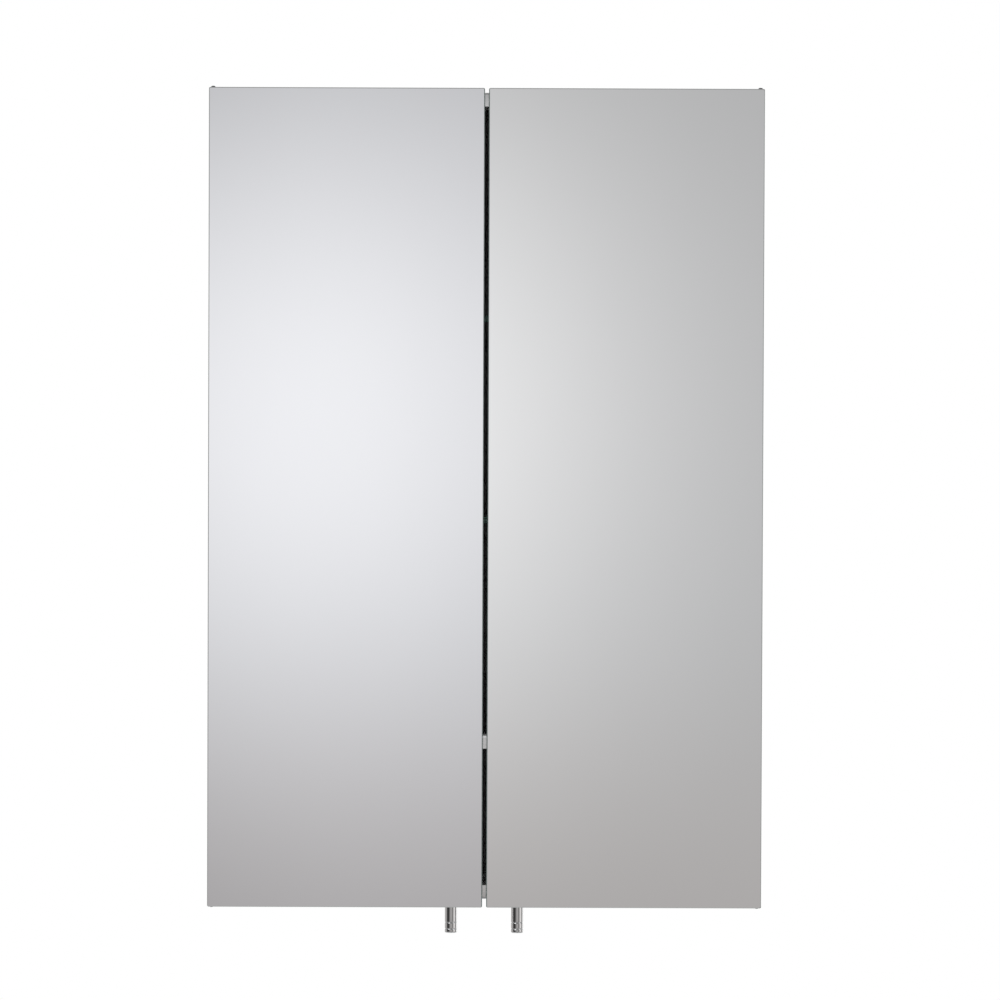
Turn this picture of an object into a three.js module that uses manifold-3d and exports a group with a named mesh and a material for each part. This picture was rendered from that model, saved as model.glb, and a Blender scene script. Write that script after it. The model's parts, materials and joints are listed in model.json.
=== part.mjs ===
// Two-door mirrored medicine cabinet in folded stainless sheet, in millimetres.
// X runs to the right, Z up, and the doors face -Y. The origin is the centre of the back face,
// on the wall. Everything on the right half is described once and mirrored for the left half.

import * as THREE from "three";
import { mergeVertices } from "three/addons/utils/BufferGeometryUtils.js";
import Module from "manifold-3d";

const wasm = await Module();
wasm.setup();

// Body: folded sheet, welded at its seams.
const BODY_WIDTH = 436;
const BODY_HEIGHT = 640;
const BODY_DEPTH = 100;
const SHEET = 1;
const FLANGE = 11;
const BEND_RADIUS = 0.5; // inside radius of every fold
const SEAM = 0.2; // left between sheets that are welded together
const BACK_SHEET = 0.9;
const BACK_MARGIN = 3; // the back panel stops this far inside the body's outline

// Wall fixings in the back panel: two keyholes above, two round holes below.
const FIXING_X = 150;
const KEYHOLE_Z = 268;
const KEYHOLE_ENTRY_RADIUS = 5;
const KEYHOLE_SLOT_RADIUS = 2.5;
const KEYHOLE_RISE = 12;
const LOWER_HOLE_Z = -284;
const LOWER_HOLE_RADIUS = 3.25;

// Fixed shelf and the two loose glass shelves above it.
const FIXED_SHELF_TOP = -188.7;
const SHELF_LIP = 11.6;
const GLASS_SHELF_SIZE = { width: 419, depth: 82, thickness: 5, corner: 4, arris: 0.6 };
const GLASS_SHELF_REAR = -6;
const RAIL_HOLE_PITCH = 40;
const RAIL_HOLES = 11;
const RAIL_BOTTOM = -172;
const RAIL_TOP = 284;
const RAIL_WIDTH = 14;
const RAIL_PROUD = 5; // how far a rail's face stands off the side panel
const RAIL_HOLE_RADIUS = 2.6;
const RAIL_FRONT_Y = -72;
const RAIL_REAR_Y = -22;
const LOWER_GLASS_HOLE = 3; // which hole of the rail holds each glass shelf's pegs
const UPPER_GLASS_HOLE = 7;
const PEG_RADIUS = 2.4;
const PEG_COLLAR_RADIUS = 4;
const PEG_NOSE = 7.5;
const PEG_COLLAR = 1.5;
const PEG_TAIL = 3.4;

// Doors: a mirror bonded to a steel pan, with a liner behind.
const DOOR_GAP = 3.2;
const DOOR_OVERHANG = 1.3;
const DOOR_TOP = BODY_HEIGHT / 2 + 3;
const DOOR_BOTTOM = -BODY_HEIGHT / 2 - 5;
const DOOR_REAR = -BODY_DEPTH - 2;
const DOOR_THICKNESS = 18;
const MIRROR_THICKNESS = 4;
const MIRROR_CORNER = 1.2;
const MIRROR_ARRIS = 0.7;
const TAPE_THICKNESS = 0.8;
const TAPE_WIDTH = 12;
const TAPE_INSET = 3;
const PAN_SHEET = 0.8;
const PAN_INSET = 0.3; // the mirror covers the pan and stands this far past its edges
const PAN_EDGE_RADIUS = 1.2;
const PAN_CORNER = 1.6;
const PAN_RETURN = 14;
const LINER_SHEET = 0.8;
const LINER_SLACK = 0.3;
const LINER_NOTCH = 2;

// Pivot hinges at the outer corners of the doors.
const HINGE_INSET = 3; // from the mirror's outer edge to the pivot
const HINGE_Y = -108;
const PIN_RADIUS = 1.25;
const PIN_HEAD_RADIUS = 1.9;
const PIN_HEAD_HEIGHT = 1.5;
const PIN_HEAD_TAPER = 0.6; // the head's top radius over its rim radius
const PEEN_RADIUS = 2;
const PEEN_HEIGHT = 0.8;
const RUNNING_CLEARANCE = 0.08;
const FIT = 0.1; // clearance round a pin or screw that doesn't turn
const BUSH_RADIUS = 1.8;
const BUSH_COLLAR_RADIUS = 1.85;
const PLATE_THICKNESS = 1.2;
const PLATE_FOOT = { inner: 187, outer: 217, rear: -70, front: -92, shoulder: 4, cornerCut: 3 };
const EAR_HALF_WIDTH = 2.8;
const EAR_SLOT_LOW = 318.8;
const EAR_SLOT_HIGH = 321.9;
const EAR_SLOT_FRONT = -112.2;
const EAR_SLACK = 0.4;
const RIVET_X = [195, 207];
const RIVET_Y = -80;
const RIVET_RADIUS = 1.5;
const RIVET_HEAD = { radius: 3, height: 1.2 };
const RIVET_TAIL = { radius: 2.2, height: 1.4 };

// Double magnetic catch behind the fixed shelf's lip, with its magnets through two slots.
const CATCH_HALF_WIDTH = 18;
const CATCH_FRONT = -98.4;
const CATCH_REAR = -82;
const MAGNET_FRONT = -101.6;
const MAGNET = { x0: 4.5, x1: 12.7, height: 5.6, depth: 9.2 };
const CATCH_SCREW_Y = -90;
const CATCH_SLACK = 0.3; // round the magnets, in their slots and in the housing
const CATCH_HOLE_DEPTH = 7;
const CATCH_SCREW_REACH = 7.5;
const CATCH_SCREW_HEAD = { radius: 3, height: 1.6 };

// Pulls hanging under the doors.
const PULL_X = 26.25;
const PULL_Y = -109;
const PULL_RADIUS = 4.8;
const PULL_LENGTH = 21;
const PULL_GROOVES = [3.1, 8.1]; // heights above the lower end
const GROOVE_WIDTH = 1;
const GROOVE_DEPTH = 0.35;
const GROOVE_SLOPE = 0.2;
const PULL_EDGE = 0.6;
const PULL_TOP_EDGE = 0.3;
const PULL_HOLE_DEPTH = 9;
const PULL_SCREW_REACH = 8.5;
const PULL_SCREW_HEAD = { radius: 2.8, height: 2 };
const SCREW_RADIUS = 1.5;

const BUFFER_RADIUS = 3.5;
const BUFFER_X = 9.5;
const BUFFER_RIM = 0.8;
const BUFFER_SLOPE = 1;
const BUFFER_CLEARANCE = 0.3; // from a shut door's buffer to the body

// Facets
const BEND_STEPS = 3;
const CURVE_STEPS = 8;
const ROUND_STEPS = 20;
const SMALL_STEPS = 12;
const DOME_STEPS = 3;
const CUT_PAST = 1; // cutting shapes run this far past what they cut

const BODY_FRONT = -BODY_DEPTH;
const BODY_SIDE = BODY_WIDTH / 2;
const BODY_TOP = BODY_HEIGHT / 2;
const DOOR_INNER_X = DOOR_GAP / 2;
const DOOR_OUTER_X = BODY_SIDE + DOOR_OVERHANG;
const DOOR_FRONT = DOOR_REAR - DOOR_THICKNESS;
const PAN_FRONT = DOOR_FRONT + MIRROR_THICKNESS + TAPE_THICKNESS;
const HINGE_X = DOOR_OUTER_X - HINGE_INSET;
const RAIL_FACE = BODY_SIDE - SHEET - RAIL_PROUD;
const CATCH_MIDDLE = FIXED_SHELF_TOP - (SHEET + FIT + SHELF_LIP) / 2;

// ---- Solids ----

function solidOf(geometry) {
  const bare = geometry.clone();
  bare.deleteAttribute("normal");
  bare.deleteAttribute("uv");
  const merged = mergeVertices(bare, 1e-4);
  const vertProperties = merged.attributes.position.array;
  const triVerts = new Uint32Array(merged.index.array);
  return new wasm.Manifold(new wasm.Mesh({ numProp: 3, vertProperties, triVerts }));
}

function geometryOf(solid) {
  const mesh = solid.getMesh();
  const geometry = new THREE.BufferGeometry();
  geometry.setAttribute("position", new THREE.BufferAttribute(mesh.vertProperties, 3));
  geometry.setIndex(new THREE.BufferAttribute(mesh.triVerts, 1));
  geometry.computeVertexNormals();
  return geometry;
}

function join(first, second) {
  return geometryOf(solidOf(first).add(solidOf(second)));
}

function cut(base, tools) {
  let solid = solidOf(base);
  for (const tool of tools) {
    solid = solid.subtract(solidOf(tool));
  }
  return geometryOf(solid);
}

function block([x0, x1], [y0, y1], [z0, z1]) {
  const geometry = new THREE.BoxGeometry(x1 - x0, y1 - y0, z1 - z0);
  geometry.translate((x0 + x1) / 2, (y0 + y1) / 2, (z0 + z1) / 2);
  return geometry;
}

// An outline pushed along one axis. For X the outline is in (y, z), for Z in (x, y), and for Y
// it is in (x, z) and is pushed from `start` towards -Y.
const OUTLINE_AXES = {
  x: [new THREE.Vector3(0, 1, 0), new THREE.Vector3(0, 0, 1), new THREE.Vector3(1, 0, 0)],
  y: [new THREE.Vector3(1, 0, 0), new THREE.Vector3(0, 0, 1), new THREE.Vector3(0, -1, 0)],
  z: [new THREE.Vector3(1, 0, 0), new THREE.Vector3(0, 1, 0), new THREE.Vector3(0, 0, 1)],
};

function extruded(shape, axis, start, length) {
  const settings = { depth: length, bevelEnabled: false, curveSegments: CURVE_STEPS };
  const geometry = new THREE.ExtrudeGeometry(shape, settings);
  geometry.applyMatrix4(new THREE.Matrix4().makeBasis(...OUTLINE_AXES[axis]));
  const offset = { x: 0, y: 0, z: 0, [axis]: start };
  geometry.translate(offset.x, offset.y, offset.z);
  return geometry;
}

// A slab in the (x, z) plane whose edges are eased all round, from `rear` towards -Y.
function easedSlab([x0, x1], [z0, z1], rear, thickness, corner, ease, easeSteps) {
  const inner = corner - ease;
  const shape = roundedRectangle([x0 + ease, x1 - ease], [z0 + ease, z1 - ease], inner);
  const geometry = new THREE.ExtrudeGeometry(shape, {
    depth: thickness - 2 * ease,
    curveSegments: BEND_STEPS,
    bevelThickness: ease,
    bevelSize: ease,
    bevelSegments: easeSteps,
  });
  geometry.applyMatrix4(new THREE.Matrix4().makeBasis(...OUTLINE_AXES.y));
  geometry.translate(0, rear - ease, 0);
  return geometry;
}

// A profile of [radius, height] points turned about an axis through `at`.
function turned(profile, axis, at, steps) {
  const points = profile.map(([radius, height]) => new THREE.Vector2(radius, height));
  const geometry = new THREE.LatheGeometry(points, steps);
  if (axis === "z") {
    geometry.rotateX(Math.PI / 2);
  }
  if (axis === "x") {
    geometry.rotateZ(-Math.PI / 2);
  }
  geometry.translate(...at);
  return geometry;
}

function rod(radius, from, to, axis, at) {
  const profile = [[0, from], [radius, from], [radius, to], [0, to]];
  return turned(profile, axis, at, SMALL_STEPS);
}

// The profile of a domed head, from its rim on the `seat` to the middle of its top.
function dome({ radius, height }, seat) {
  const points = [];
  for (let step = 0; step < DOME_STEPS; step += 1) {
    const angle = (Math.PI / 2) * (step / DOME_STEPS);
    points.push([radius * Math.cos(angle), seat + height * Math.sin(angle)]);
  }
  points.push([0, seat + height]);
  return points;
}

// ---- Outlines ----

function rectangle([x0, x1], [y0, y1]) {
  return [[x0, y0], [x1, y0], [x1, y1], [x0, y1]].map(([x, y]) => new THREE.Vector2(x, y));
}

function roundedRectangle([x0, x1], [y0, y1], radius) {
  const path = new THREE.Shape();
  path.moveTo(x0 + radius, y0);
  path.lineTo(x1 - radius, y0);
  path.absarc(x1 - radius, y0 + radius, radius, -Math.PI / 2, 0, false);
  path.lineTo(x1, y1 - radius);
  path.absarc(x1 - radius, y1 - radius, radius, 0, Math.PI / 2, false);
  path.lineTo(x0 + radius, y1);
  path.absarc(x0 + radius, y1 - radius, radius, Math.PI / 2, Math.PI, false);
  path.lineTo(x0, y0 + radius);
  path.absarc(x0 + radius, y0 + radius, radius, Math.PI, Math.PI * 1.5, false);
  return path;
}

function circle(x, y, radius) {
  const path = new THREE.Path();
  path.absarc(x, y, radius, 0, Math.PI * 2, false);
  return path;
}

function keyhole(x, z) {
  const neck = Math.asin(KEYHOLE_SLOT_RADIUS / KEYHOLE_ENTRY_RADIUS);
  const path = new THREE.Path();
  path.absarc(x, z, KEYHOLE_ENTRY_RADIUS, Math.PI / 2 + neck, Math.PI * 2.5 - neck, false);
  path.lineTo(x + KEYHOLE_SLOT_RADIUS, z + KEYHOLE_RISE);
  path.absarc(x, z + KEYHOLE_RISE, KEYHOLE_SLOT_RADIUS, 0, Math.PI, false);
  path.closePath();
  return path;
}

// The section of a sheet folded at right angles. `corners` run along its outer face, with the
// sheet on their left, and every fold turns left.
function foldedSection(corners, thickness) {
  const outerRadius = BEND_RADIUS + thickness;
  const outer = [];
  const inner = [];
  const points = corners.map(([u, v]) => new THREE.Vector2(u, v));
  const leftOf = (from, to) => {
    const along = to.clone().sub(from).normalize();
    return new THREE.Vector2(-along.y, along.x);
  };
  const last = points.length - 1;
  outer.push(points[0]);
  inner.push(points[0].clone().addScaledVector(leftOf(points[0], points[1]), thickness));
  for (let i = 1; i < last; i += 1) {
    const before = leftOf(points[i - 1], points[i]);
    const after = leftOf(points[i], points[i + 1]);
    const centre = points[i].clone().addScaledVector(before, outerRadius);
    centre.addScaledVector(after, outerRadius);
    for (let step = 0; step <= BEND_STEPS; step += 1) {
      const turn = (Math.PI / 2) * (step / BEND_STEPS);
      const side = before.clone().rotateAround(new THREE.Vector2(), turn);
      outer.push(centre.clone().addScaledVector(side, -outerRadius));
      inner.push(centre.clone().addScaledVector(side, -BEND_RADIUS));
    }
  }
  outer.push(points[last]);
  inner.push(points[last].clone().addScaledVector(leftOf(points[last - 1], points[last]), thickness));
  return new THREE.Shape([...outer, ...inner.reverse()]);
}

// ---- Materials ----

function steel() {
  return new THREE.MeshStandardMaterial({ color: 0xb4b6b8, roughness: 0.35, metalness: 1 });
}

function zincPlate() {
  return new THREE.MeshStandardMaterial({ color: 0xa4a7aa, roughness: 0.4, metalness: 1 });
}

function chrome() {
  return new THREE.MeshStandardMaterial({ color: 0xd8dadc, roughness: 0.08, metalness: 1 });
}

function mirrorSilver() {
  return new THREE.MeshStandardMaterial({ color: 0xc8c8ca, roughness: 0.03, metalness: 1 });
}

function clearGlass() {
  return new THREE.MeshStandardMaterial({ color: 0xbfd8cf, roughness: 0.05, metalness: 0 });
}

function foam() {
  return new THREE.MeshStandardMaterial({ color: 0x2c2d2f, roughness: 0.95, metalness: 0 });
}

function nylon() {
  return new THREE.MeshStandardMaterial({ color: 0xe6e4de, roughness: 0.5, metalness: 0 });
}

function greyPlastic() {
  return new THREE.MeshStandardMaterial({ color: 0xb9bab9, roughness: 0.45, metalness: 0 });
}

function ferrite() {
  return new THREE.MeshStandardMaterial({ color: 0x3a3a3c, roughness: 0.6, metalness: 0.4 });
}

function softClear() {
  return new THREE.MeshStandardMaterial({ color: 0xd9dcdc, roughness: 0.3, metalness: 0 });
}

// ---- Body ----

function sidePanel() {
  const inner = BODY_SIDE - FLANGE;
  const corners = [
    [inner, BODY_FRONT],
    [BODY_SIDE, BODY_FRONT],
    [BODY_SIDE, -SHEET],
    [inner, -SHEET],
  ];
  return extruded(foldedSection(corners, SHEET), "z", -BODY_TOP, BODY_HEIGHT);
}

// A shallow tray, open side down, with its four edges folded down by `drop`. The front and rear
// folds fit between the side panels' flanges, and the end folds lie against the side panels.
function tray(top, drop) {
  const frontHalf = BODY_SIDE - FLANGE - SEAM;
  const endHalf = BODY_SIDE - SHEET - SEAM;
  const lengthwise = [
    [-SHEET, top - drop],
    [-SHEET, top],
    [BODY_FRONT, top],
    [BODY_FRONT, top - drop],
  ];
  const crosswise = [
    [endHalf, top - drop],
    [endHalf, top],
    [-endHalf, top],
    [-endHalf, top - drop],
  ];
  const rear = -2 * SHEET - SEAM;
  const depth = BODY_DEPTH - 3 * SHEET - 2 * SEAM;
  const long = extruded(foldedSection(lengthwise, SHEET), "x", -frontHalf, 2 * frontHalf);
  const wide = extruded(foldedSection(crosswise, SHEET), "y", rear, depth);
  return join(long, wide);
}

function endPanel() {
  const holes = [];
  for (const x of RIVET_X) {
    for (const side of [-1, 1]) {
      const at = [side * x, RIVET_Y, 0];
      const through = [BODY_TOP - SHEET - CUT_PAST, BODY_TOP + CUT_PAST];
      holes.push(rod(RIVET_RADIUS + FIT, ...through, "z", at));
    }
  }
  return cut(tray(BODY_TOP, FLANGE), holes);
}

function fixedShelf() {
  const lip = [BODY_FRONT - CUT_PAST, BODY_FRONT + SHEET + CUT_PAST];
  const through = [FIXED_SHELF_TOP - SHEET - CUT_PAST, FIXED_SHELF_TOP + CUT_PAST];
  const screwHole = rod(SCREW_RADIUS + FIT, ...through, "z", [0, CATCH_SCREW_Y, 0]);
  return cut(tray(FIXED_SHELF_TOP, SHELF_LIP), [screwHole, ...magnetRoom(lip)]);
}

function backPanel() {
  const half = BODY_SIDE - BACK_MARGIN;
  const top = BODY_TOP - BACK_MARGIN;
  const shape = new THREE.Shape(rectangle([-half, half], [-top, top]));
  for (const side of [-1, 1]) {
    shape.holes.push(keyhole(side * FIXING_X, KEYHOLE_Z));
    shape.holes.push(circle(side * FIXING_X, LOWER_HOLE_Z, LOWER_HOLE_RADIUS));
  }
  return extruded(shape, "y", 0, BACK_SHEET);
}

// ---- Shelves ----

function railHoleZ(index) {
  const middle = (RAIL_BOTTOM + RAIL_TOP) / 2;
  return middle + (index - (RAIL_HOLES - 1) / 2) * RAIL_HOLE_PITCH;
}

// A channel welded to the side panel by its two legs, with peg holes up its face.
function shelfRail(y) {
  const foot = BODY_SIDE - SHEET - SEAM;
  const corners = [
    [foot, y + RAIL_WIDTH / 2],
    [RAIL_FACE, y + RAIL_WIDTH / 2],
    [RAIL_FACE, y - RAIL_WIDTH / 2],
    [foot, y - RAIL_WIDTH / 2],
  ];
  const channel = extruded(foldedSection(corners, SHEET), "z", RAIL_BOTTOM, RAIL_TOP - RAIL_BOTTOM);
  const holes = [];
  for (let i = 0; i < RAIL_HOLES; i += 1) {
    const at = [0, y, railHoleZ(i)];
    const through = [RAIL_FACE - CUT_PAST, RAIL_FACE + SHEET + CUT_PAST];
    holes.push(rod(RAIL_HOLE_RADIUS, ...through, "x", at));
  }
  return cut(channel, holes);
}

function shelfPeg(y, z) {
  const collarRear = RAIL_FACE - FIT;
  const collarFront = collarRear - PEG_COLLAR;
  const profile = [
    [0, collarRear - PEG_NOSE],
    [PEG_RADIUS, collarRear - PEG_NOSE],
    [PEG_RADIUS, collarFront],
    [PEG_COLLAR_RADIUS, collarFront],
    [PEG_COLLAR_RADIUS, collarRear],
    [PEG_RADIUS, collarRear],
    [PEG_RADIUS, collarRear + PEG_TAIL],
    [0, collarRear + PEG_TAIL],
  ];
  return turned(profile, "x", [0, y, z], SMALL_STEPS);
}

function glassShelf(holeIndex) {
  const { width, depth, thickness, corner, arris } = GLASS_SHELF_SIZE;
  const inner = corner - arris;
  const reach = width / 2 - arris;
  const front = GLASS_SHELF_REAR - depth + arris;
  const shape = roundedRectangle([-reach, reach], [front, GLASS_SHELF_REAR - arris], inner);
  const geometry = new THREE.ExtrudeGeometry(shape, {
    depth: thickness - 2 * arris,
    curveSegments: BEND_STEPS,
    bevelThickness: arris,
    bevelSize: arris,
    bevelSegments: 1,
  });
  geometry.translate(0, 0, railHoleZ(holeIndex) + PEG_RADIUS + FIT + arris);
  return geometry;
}

// ---- Hinges, described at the top end ----

// A flat plate riveted on the end panel, with a narrow ear that reaches forward to the pivot.
function hingePlate() {
  const { inner, outer, rear, front, shoulder, cornerCut } = PLATE_FOOT;
  const earInner = HINGE_X - EAR_HALF_WIDTH;
  const earOuter = HINGE_X + EAR_HALF_WIDTH;
  const shape = new THREE.Shape();
  shape.moveTo(inner, rear);
  shape.lineTo(inner, front);
  shape.lineTo(earInner - shoulder, front);
  shape.lineTo(earInner, front - shoulder);
  shape.lineTo(earInner, HINGE_Y);
  shape.absarc(HINGE_X, HINGE_Y, EAR_HALF_WIDTH, Math.PI, Math.PI * 2, false);
  shape.lineTo(earOuter, front);
  shape.lineTo(outer, front + cornerCut);
  shape.lineTo(outer, rear);
  shape.holes.push(circle(HINGE_X, HINGE_Y, PIN_RADIUS + FIT));
  for (const x of RIVET_X) {
    shape.holes.push(circle(x, RIVET_Y, RIVET_RADIUS + FIT));
  }
  return extruded(shape, "z", BODY_TOP + FIT, PLATE_THICKNESS);
}

// The pin is peened under the ear, runs through the door's bush and ends in a low head.
function hingePin(panEdge) {
  const seat = panEdge + FIT;
  const ear = BODY_TOP + FIT;
  const profile = [
    [0, ear - FIT - PEEN_HEIGHT],
    [PEEN_RADIUS, ear - FIT - PEEN_HEIGHT],
    [PEEN_RADIUS, ear - FIT],
    [PIN_RADIUS, ear - FIT],
    [PIN_RADIUS, seat],
    [PIN_HEAD_RADIUS, seat],
    [PIN_HEAD_RADIUS, seat + PIN_HEAD_HEIGHT / 2],
    [PIN_HEAD_RADIUS * PIN_HEAD_TAPER, seat + PIN_HEAD_HEIGHT],
    [0, seat + PIN_HEAD_HEIGHT],
  ];
  return turned(profile, "z", [HINGE_X, HINGE_Y, 0], ROUND_STEPS);
}

function hingeRivet(x) {
  const seat = BODY_TOP + FIT + PLATE_THICKNESS + FIT;
  const underside = BODY_TOP - SHEET - FIT;
  const profile = [
    [0, underside - RIVET_TAIL.height],
    [RIVET_TAIL.radius, underside - RIVET_TAIL.height],
    [RIVET_TAIL.radius, underside],
    [RIVET_RADIUS, underside],
    [RIVET_RADIUS, seat],
    ...dome(RIVET_HEAD, seat),
  ];
  return turned(profile, "z", [x, RIVET_Y, 0], SMALL_STEPS);
}

// A nylon ring pressed into the pan's end wall, with a collar that fills the space to the ear.
function hingeBush(panEdge) {
  const bore = PIN_RADIUS + RUNNING_CLEARANCE;
  const low = BODY_TOP + FIT + PLATE_THICKNESS + FIT;
  const wall = panEdge - PAN_SHEET - FIT;
  const profile = [
    [bore, low],
    [BUSH_COLLAR_RADIUS, low],
    [BUSH_COLLAR_RADIUS, wall],
    [BUSH_RADIUS - FIT, wall],
    [BUSH_RADIUS - FIT, panEdge],
    [bore, panEdge],
    [bore, low],
  ];
  return turned(profile, "z", [HINGE_X, HINGE_Y, 0], ROUND_STEPS);
}

// ---- Magnetic catch ----

// The two magnets' sections with slack round them, cut through whatever lies in `depth`.
function magnetRoom(depth) {
  const half = MAGNET.height / 2 + CATCH_SLACK;
  return [-1, 1].map((side) => {
    const x = [side * (MAGNET.x0 - CATCH_SLACK), side * (MAGNET.x1 + CATCH_SLACK)];
    x.sort((a, b) => a - b);
    return block(x, depth, [CATCH_MIDDLE - half, CATCH_MIDDLE + half]);
  });
}

function catchHousing() {
  const top = FIXED_SHELF_TOP - SHEET - FIT;
  const bottom = FIXED_SHELF_TOP - SHELF_LIP;
  const body = block([-CATCH_HALF_WIDTH, CATCH_HALF_WIDTH], [CATCH_FRONT, CATCH_REAR], [bottom, top]);
  const bore = [top - CATCH_HOLE_DEPTH, top + CUT_PAST];
  const screwHole = rod(SCREW_RADIUS + FIT, ...bore, "z", [0, CATCH_SCREW_Y, 0]);
  const pockets = [CATCH_FRONT - CUT_PAST, MAGNET_FRONT + MAGNET.depth + CATCH_SLACK];
  return cut(body, [screwHole, ...magnetRoom(pockets)]);
}

function magnet() {
  const z = [CATCH_MIDDLE - MAGNET.height / 2, CATCH_MIDDLE + MAGNET.height / 2];
  return block([MAGNET.x0, MAGNET.x1], [MAGNET_FRONT, MAGNET_FRONT + MAGNET.depth], z);
}

function catchScrew() {
  const seat = FIXED_SHELF_TOP + FIT;
  const profile = [
    [0, seat - CATCH_SCREW_REACH],
    [SCREW_RADIUS, seat - CATCH_SCREW_REACH],
    [SCREW_RADIUS, seat],
    ...dome(CATCH_SCREW_HEAD, seat),
  ];
  return turned(profile, "z", [0, CATCH_SCREW_Y, 0], SMALL_STEPS);
}

// ---- Door, on the right ----

function mirror() {
  const x = [DOOR_INNER_X, DOOR_OUTER_X];
  const z = [DOOR_BOTTOM, DOOR_TOP];
  const rear = DOOR_FRONT + MIRROR_THICKNESS;
  return easedSlab(x, z, rear, MIRROR_THICKNESS, MIRROR_CORNER, MIRROR_ARRIS, 1);
}

function mirrorTape() {
  const insideMirror = (inset) => rectangle(
    [DOOR_INNER_X + inset, DOOR_OUTER_X - inset],
    [DOOR_BOTTOM + inset, DOOR_TOP - inset],
  );
  const shape = new THREE.Shape(insideMirror(TAPE_INSET));
  shape.holes.push(new THREE.Path(insideMirror(TAPE_INSET + TAPE_WIDTH)));
  return extruded(shape, "y", PAN_FRONT - FIT, TAPE_THICKNESS - 2 * FIT);
}

// The pan is a closed front with folded sides and a return all round behind. Its outer corners
// are slotted for the hinge ears, and its end walls are bored for the bushes and the pull.
function doorPan() {
  const x = [DOOR_INNER_X + PAN_INSET, DOOR_OUTER_X - PAN_INSET];
  const z = [DOOR_BOTTOM + PAN_INSET, DOOR_TOP - PAN_INSET];
  const shrink = ([low, high], by) => [low + by, high - by];
  const depth = DOOR_REAR - PAN_FRONT;
  const shell = easedSlab(x, z, DOOR_REAR, depth, PAN_CORNER, PAN_EDGE_RADIUS, BEND_STEPS);
  const hollow = block(
    shrink(x, PAN_SHEET),
    [PAN_FRONT + PAN_SHEET, DOOR_REAR - PAN_SHEET],
    shrink(z, PAN_SHEET),
  );
  const window = block(
    shrink(x, PAN_RETURN),
    [DOOR_REAR - PAN_SHEET - CUT_PAST, DOOR_REAR + CUT_PAST],
    shrink(z, PAN_RETURN),
  );
  const slotX = [HINGE_X - EAR_HALF_WIDTH - EAR_SLACK, DOOR_OUTER_X + CUT_PAST];
  const slotY = [EAR_SLOT_FRONT, DOOR_REAR + CUT_PAST];
  const pivot = [HINGE_X, HINGE_Y, 0];
  const topWall = [z[1] - PAN_SHEET - CUT_PAST, z[1] + CUT_PAST];
  const bottomWall = [z[0] - CUT_PAST, z[0] + PAN_SHEET + CUT_PAST];
  return cut(shell, [
    hollow,
    window,
    block(slotX, slotY, [EAR_SLOT_LOW, EAR_SLOT_HIGH]),
    block(slotX, slotY, [-EAR_SLOT_HIGH, -EAR_SLOT_LOW]),
    rod(BUSH_RADIUS, ...topWall, "z", pivot),
    rod(BUSH_RADIUS, ...bottomWall, "z", pivot),
    rod(SCREW_RADIUS + FIT, ...bottomWall, "z", [PULL_X, PULL_Y, 0]),
  ]);
}

// A flat sheet that closes the pan from inside its return, notched round the hinge ears.
function doorLiner() {
  const margin = PAN_INSET + PAN_SHEET + LINER_SLACK;
  const rear = DOOR_REAR - PAN_SHEET - SEAM;
  const sheet = block(
    [DOOR_INNER_X + margin, DOOR_OUTER_X - margin],
    [rear - LINER_SHEET, rear],
    [DOOR_BOTTOM + margin, DOOR_TOP - margin],
  );
  const notchX = [HINGE_X - EAR_HALF_WIDTH - LINER_NOTCH, DOOR_OUTER_X];
  const notchY = [rear - LINER_SHEET - CUT_PAST, rear + CUT_PAST];
  return cut(sheet, [
    block(notchX, notchY, [EAR_SLOT_LOW - LINER_NOTCH, DOOR_TOP]),
    block(notchX, notchY, [DOOR_BOTTOM, LINER_NOTCH - EAR_SLOT_LOW]),
  ]);
}

// A turned bar with two grooves near its lower end and a blind hole for its screw above.
function pull() {
  const top = DOOR_BOTTOM + PAN_INSET - FIT;
  const bottom = top - PULL_LENGTH;
  const profile = [[0, bottom], [PULL_RADIUS - PULL_EDGE, bottom], [PULL_RADIUS, bottom + PULL_EDGE]];
  for (const height of PULL_GROOVES) {
    const low = bottom + height - GROOVE_WIDTH / 2;
    const high = bottom + height + GROOVE_WIDTH / 2;
    profile.push([PULL_RADIUS, low]);
    profile.push([PULL_RADIUS - GROOVE_DEPTH, low + GROOVE_SLOPE]);
    profile.push([PULL_RADIUS - GROOVE_DEPTH, high - GROOVE_SLOPE]);
    profile.push([PULL_RADIUS, high]);
  }
  const screwHole = SCREW_RADIUS + FIT;
  const holeEnd = top - PULL_HOLE_DEPTH;
  profile.push([PULL_RADIUS, top - PULL_TOP_EDGE], [PULL_RADIUS - PULL_TOP_EDGE, top]);
  profile.push([screwHole, top], [screwHole, holeEnd], [0, holeEnd]);
  return turned(profile, "z", [PULL_X, PULL_Y, 0], ROUND_STEPS);
}

function pullScrew() {
  const seat = DOOR_BOTTOM + PAN_INSET + PAN_SHEET + FIT;
  const profile = [
    [0, seat - PULL_SCREW_REACH],
    [SCREW_RADIUS, seat - PULL_SCREW_REACH],
    [SCREW_RADIUS, seat],
    ...dome(PULL_SCREW_HEAD, seat),
  ];
  return turned(profile, "z", [PULL_X, PULL_Y, 0], SMALL_STEPS);
}

function buffer(z) {
  const rear = BODY_FRONT - BUFFER_CLEARANCE;
  const front = DOOR_REAR + FIT;
  const profile = [
    [0, front],
    [BUFFER_RADIUS, front],
    [BUFFER_RADIUS, front + BUFFER_RIM],
    [BUFFER_RADIUS - BUFFER_SLOPE, rear],
    [0, rear],
  ];
  return turned(profile, "y", [BUFFER_X, 0, z], SMALL_STEPS);
}

// ---- Assembly ----

function addPart(group, name, geometry, material) {
  const mesh = new THREE.Mesh(geometry, material);
  mesh.name = name;
  group.add(mesh);
}

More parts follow.
